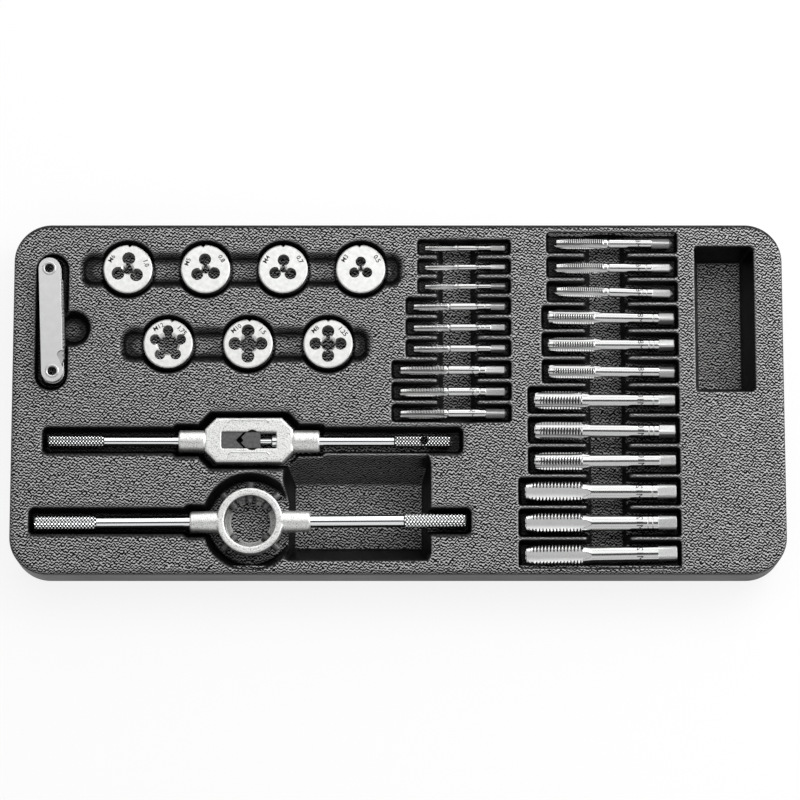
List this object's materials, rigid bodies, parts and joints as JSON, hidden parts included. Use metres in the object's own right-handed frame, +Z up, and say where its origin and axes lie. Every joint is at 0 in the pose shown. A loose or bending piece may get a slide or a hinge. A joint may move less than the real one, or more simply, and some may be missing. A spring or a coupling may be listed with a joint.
{
  "type": "fitted tool drawer tray",
  "caption": "Vacuum formed drawer tray whose fitted pockets hold round dies, hand taps, a tap wrench, a die stock and a thread gauge.",
  "frame": {"origin": "on the drawer floor, under the middle of the tray", "axes": "+X along the tray towards the empty box pocket, +Y towards the back of the drawer, +Z up"},
  "size_m": [0.4, 0.184, 0.0331],
  "materials": {
    "tray_plastic": "black pebble grain",
    "ground_steel": "ground bright",
    "die_steel": "satin",
    "cast_zinc": "as cast, light grey",
    "chromed_steel": "bright with knurled grips",
    "dark_steel": "oil blackened",
    "sheet_steel": "rolled satin"
  },
  "bodies": {
    "tray": {"tray": "tray_plastic"},
    "die_m3": {"die_m3": "die_steel"},
    "die_m4": {"die_m4": "die_steel"},
    "die_m5": {"die_m5": "die_steel"},
    "die_m6": {"die_m6": "die_steel"},
    "die_m8": {"die_m8": "die_steel"},
    "die_m10": {"die_m10": "die_steel"},
    "die_m12": {"die_m12": "die_steel"},
    "tap_m3_1": {"tap_m3_1": "ground_steel"},
    "tap_m3_2": {"tap_m3_2": "ground_steel"},
    "tap_m3_3": {"tap_m3_3": "ground_steel"},
    "tap_m4_1": {"tap_m4_1": "ground_steel"},
    "tap_m4_2": {"tap_m4_2": "ground_steel"},
    "tap_m4_3": {"tap_m4_3": "ground_steel"},
    "tap_m5_1": {"tap_m5_1": "ground_steel"},
    "tap_m5_2": {"tap_m5_2": "ground_steel"},
    "tap_m5_3": {"tap_m5_3": "ground_steel"},
    "tap_m6_1": {"tap_m6_1": "ground_steel"},
    "tap_m6_2": {"tap_m6_2": "ground_steel"},
    "tap_m6_3": {"tap_m6_3": "ground_steel"},
    "tap_m8_1": {"tap_m8_1": "ground_steel"},
    "tap_m8_2": {"tap_m8_2": "ground_steel"},
    "tap_m8_3": {"tap_m8_3": "ground_steel"},
    "tap_m10_1": {"tap_m10_1": "ground_steel"},
    "tap_m10_2": {"tap_m10_2": "ground_steel"},
    "tap_m10_3": {"tap_m10_3": "ground_steel"},
    "tap_m12_1": {"tap_m12_1": "ground_steel"},
    "tap_m12_2": {"tap_m12_2": "ground_steel"},
    "tap_m12_3": {"tap_m12_3": "ground_steel"},
    "tap_wrench": {"wrench_body": "cast_zinc", "wrench_fixed_jaw": "dark_steel", "wrench_fixed_handle": "chromed_steel"},
    "wrench_moving_jaw": {"wrench_moving_jaw": "dark_steel"},
    "wrench_screw_handle": {"wrench_screw_handle": "chromed_steel"},
    "die_stock": {"stock_ring": "cast_zinc", "stock_left_handle": "chromed_steel", "stock_right_handle": "chromed_steel"},
    "stock_set_screw_1": {"stock_set_screw_1": "dark_steel"},
    "stock_set_screw_2": {"stock_set_screw_2": "dark_steel"},
    "stock_set_screw_3": {"stock_set_screw_3": "dark_steel"},
    "stock_set_screw_4": {"stock_set_screw_4": "dark_steel"},
    "stock_set_screw_5": {"stock_set_screw_5": "dark_steel"},
    "thread_gauge": {"gauge_back_cover": "sheet_steel", "gauge_front_cover": "sheet_steel", "gauge_upper_rivet": "sheet_steel", "gauge_lower_rivet": "sheet_steel"},
    "gauge_leaf_1": {"gauge_leaf_1": "sheet_steel"},
    "gauge_leaf_2": {"gauge_leaf_2": "sheet_steel"},
    "gauge_leaf_3": {"gauge_leaf_3": "sheet_steel"},
    "gauge_leaf_4": {"gauge_leaf_4": "sheet_steel"},
    "gauge_leaf_5": {"gauge_leaf_5": "sheet_steel"},
    "gauge_leaf_6": {"gauge_leaf_6": "sheet_steel"},
    "gauge_leaf_7": {"gauge_leaf_7": "sheet_steel"},
    "gauge_leaf_8": {"gauge_leaf_8": "sheet_steel"}
  },
  "joints": [
    {"name": "lift_die_m3", "type": "slide", "parent": "tray", "child": "die_m3", "axis": [0, 0, 1], "range_m": [0, 0.06]},
    {"name": "lift_die_m4", "type": "slide", "parent": "tray", "child": "die_m4", "axis": [0, 0, 1], "range_m": [0, 0.06]},
    {"name": "lift_die_m5", "type": "slide", "parent": "tray", "child": "die_m5", "axis": [0, 0, 1], "range_m": [0, 0.06]},
    {"name": "lift_die_m6", "type": "slide", "parent": "tray", "child": "die_m6", "axis": [0, 0, 1], "range_m": [0, 0.06]},
    {"name": "lift_die_m8", "type": "slide", "parent": "tray", "child": "die_m8", "axis": [0, 0, 1], "range_m": [0, 0.06]},
    {"name": "lift_die_m10", "type": "slide", "parent": "tray", "child": "die_m10", "axis": [0, 0, 1], "range_m": [0, 0.06]},
    {"name": "lift_die_m12", "type": "slide", "parent": "tray", "child": "die_m12", "axis": [0, 0, 1], "range_m": [0, 0.06]},
    {"name": "lift_tap_m3_1", "type": "slide", "parent": "tray", "child": "tap_m3_1", "axis": [0, 0, 1], "range_m": [0, 0.06]},
    {"name": "lift_tap_m3_2", "type": "slide", "parent": "tray", "child": "tap_m3_2", "axis": [0, 0, 1], "range_m": [0, 0.06]},
    {"name": "lift_tap_m3_3", "type": "slide", "parent": "tray", "child": "tap_m3_3", "axis": [0, 0, 1], "range_m": [0, 0.06]},
    {"name": "lift_tap_m4_1", "type": "slide", "parent": "tray", "child": "tap_m4_1", "axis": [0, 0, 1], "range_m": [0, 0.06]},
    {"name": "lift_tap_m4_2", "type": "slide", "parent": "tray", "child": "tap_m4_2", "axis": [0, 0, 1], "range_m": [0, 0.06]},
    {"name": "lift_tap_m4_3", "type": "slide", "parent": "tray", "child": "tap_m4_3", "axis": [0, 0, 1], "range_m": [0, 0.06]},
    {"name": "lift_tap_m5_1", "type": "slide", "parent": "tray", "child": "tap_m5_1", "axis": [0, 0, 1], "range_m": [0, 0.06]},
    {"name": "lift_tap_m5_2", "type": "slide", "parent": "tray", "child": "tap_m5_2", "axis": [0, 0, 1], "range_m": [0, 0.06]},
    {"name": "lift_tap_m5_3", "type": "slide", "parent": "tray", "child": "tap_m5_3", "axis": [0, 0, 1], "range_m": [0, 0.06]},
    {"name": "lift_tap_m6_1", "type": "slide", "parent": "tray", "child": "tap_m6_1", "axis": [0, 0, 1], "range_m": [0, 0.06]},
    {"name": "lift_tap_m6_2", "type": "slide", "parent": "tray", "child": "tap_m6_2", "axis": [0, 0, 1], "range_m": [0, 0.06]},
    {"name": "lift_tap_m6_3", "type": "slide", "parent": "tray", "child": "tap_m6_3", "axis": [0, 0, 1], "range_m": [0, 0.06]},
    {"name": "lift_tap_m8_1", "type": "slide", "parent": "tray", "child": "tap_m8_1", "axis": [0, 0, 1], "range_m": [0, 0.06]},
    {"name": "lift_tap_m8_2", "type": "slide", "parent": "tray", "child": "tap_m8_2", "axis": [0, 0, 1], "range_m": [0, 0.06]},
    {"name": "lift_tap_m8_3", "type": "slide", "parent": "tray", "child": "tap_m8_3", "axis": [0, 0, 1], "range_m": [0, 0.06]},
    {"name": "lift_tap_m10_1", "type": "slide", "parent": "tray", "child": "tap_m10_1", "axis": [0, 0, 1], "range_m": [0, 0.06]},
    {"name": "lift_tap_m10_2", "type": "slide", "parent": "tray", "child": "tap_m10_2", "axis": [0, 0, 1], "range_m": [0, 0.06]},
    {"name": "lift_tap_m10_3", "type": "slide", "parent": "tray", "child": "tap_m10_3", "axis": [0, 0, 1], "range_m": [0, 0.06]},
    {"name": "lift_tap_m12_1", "type": "slide", "parent": "tray", "child": "tap_m12_1", "axis": [0, 0, 1], "range_m": [0, 0.06]},
    {"name": "lift_tap_m12_2", "type": "slide", "parent": "tray", "child": "tap_m12_2", "axis": [0, 0, 1], "range_m": [0, 0.06]},
    {"name": "lift_tap_m12_3", "type": "slide", "parent": "tray", "child": "tap_m12_3", "axis": [0, 0, 1], "range_m": [0, 0.06]},
    {"name": "lift_tap_wrench", "type": "slide", "parent": "tray", "child": "tap_wrench", "axis": [0, 0, 1], "range_m": [0, 0.06]},
    {"name": "lift_die_stock", "type": "slide", "parent": "tray", "child": "die_stock", "axis": [0, 0, 1], "range_m": [0, 0.06]},
    {"name": "lift_thread_gauge", "type": "slide", "parent": "tray", "child": "thread_gauge", "axis": [0, 0, 1], "range_m": [0, 0.06]},
    {"name": "jaw_slide", "type": "slide", "parent": "tap_wrench", "child": "wrench_moving_jaw", "axis": [1, 0, 0], "range_m": [-0.001, 0.005]},
    {"name": "screw_turn", "type": "hinge", "parent": "wrench_moving_jaw", "child": "wrench_screw_handle", "pos_m": [-0.0768, -0.0219, 0.021], "axis": [1, 0, 0], "range_deg": [-360, 1800]},
    {"name": "set_screw_1", "type": "slide", "parent": "die_stock", "child": "stock_set_screw_1", "axis": [0.7028, 0.7114, 0], "range_m": [-0.0015, 0.002]},
    {"name": "set_screw_2", "type": "slide", "parent": "die_stock", "child": "stock_set_screw_2", "axis": [-0.0061, 1, 0], "range_m": [-0.0015, 0.002]},
    {"name": "set_screw_3", "type": "slide", "parent": "die_stock", "child": "stock_set_screw_3", "axis": [-0.7114, 0.7028, 0], "range_m": [-0.0015, 0.002]},
    {"name": "set_screw_4", "type": "slide", "parent": "die_stock", "child": "stock_set_screw_4", "axis": [-0.7028, -0.7114, 0], "range_m": [-0.0015, 0.002]},
    {"name": "set_screw_5", "type": "slide", "parent": "die_stock", "child": "stock_set_screw_5", "axis": [0.7114, -0.7028, 0], "range_m": [-0.0015, 0.002]},
    {"name": "leaf_1_swing", "type": "hinge", "parent": "thread_gauge", "child": "gauge_leaf_1", "pos_m": [-0.18033, 0.06698, 0.0276], "axis": [0, 0, 1], "range_deg": [0, 180]},
    {"name": "leaf_2_swing", "type": "hinge", "parent": "thread_gauge", "child": "gauge_leaf_2", "pos_m": [-0.17807, 0.01302, 0.02815], "axis": [0, 0, -1], "range_deg": [0, 180]},
    {"name": "leaf_3_swing", "type": "hinge", "parent": "thread_gauge", "child": "gauge_leaf_3", "pos_m": [-0.18033, 0.06698, 0.0287], "axis": [0, 0, 1], "range_deg": [0, 180]},
    {"name": "leaf_4_swing", "type": "hinge", "parent": "thread_gauge", "child": "gauge_leaf_4", "pos_m": [-0.17807, 0.01302, 0.02925], "axis": [0, 0, -1], "range_deg": [0, 180]},
    {"name": "leaf_5_swing", "type": "hinge", "parent": "thread_gauge", "child": "gauge_leaf_5", "pos_m": [-0.18033, 0.06698, 0.0298], "axis": [0, 0, 1], "range_deg": [0, 180]},
    {"name": "leaf_6_swing", "type": "hinge", "parent": "thread_gauge", "child": "gauge_leaf_6", "pos_m": [-0.17807, 0.01302, 0.03035], "axis": [0, 0, -1], "range_deg": [0, 180]},
    {"name": "leaf_7_swing", "type": "hinge", "parent": "thread_gauge", "child": "gauge_leaf_7", "pos_m": [-0.18033, 0.06698, 0.0309], "axis": [0, 0, 1], "range_deg": [0, 180]},
    {"name": "leaf_8_swing", "type": "hinge", "parent": "thread_gauge", "child": "gauge_leaf_8", "pos_m": [-0.17807, 0.01302, 0.03145], "axis": [0, 0, -1], "range_deg": [0, 180]}
  ],
  "couplings": [
    {"joint": "screw_turn", "follows": "jaw_slide", "rad_per_m": 6283.2}
  ]
}
